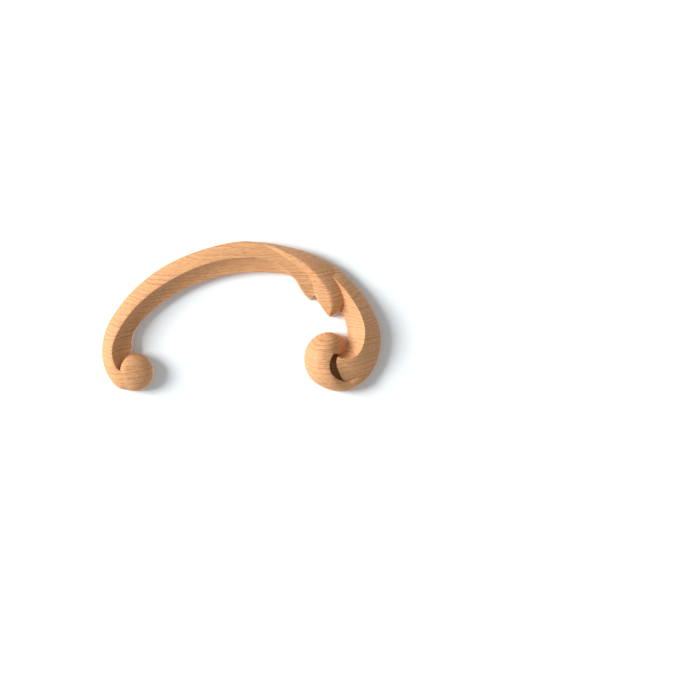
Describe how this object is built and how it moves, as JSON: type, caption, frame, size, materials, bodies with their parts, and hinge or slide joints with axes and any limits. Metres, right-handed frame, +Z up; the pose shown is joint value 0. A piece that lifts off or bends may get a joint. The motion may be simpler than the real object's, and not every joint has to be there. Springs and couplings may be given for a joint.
{
  "type": "scroll onlay",
  "caption": "Carved wooden scroll onlay with a flat back: an arched leaf scroll between a small ball end and a large volute, glued on as relief ornament",
  "frame": {"origin": "On the flat glue face, behind the crown at mid-length, 89 percent of the height above the lowest point", "axes": "+X along the length towards the large volute, +Z up the arch, +Y out of the back into the surface it is fixed to; the carving faces -Y"},
  "size_m": [0.0825, 0.0095, 0.0445],
  "materials": {
    "wood": "unfinished light hardwood, sanded smooth"
  },
  "bodies": {
    "root": {"scroll_onlay": "wood"}
  },
  "joints": []
}
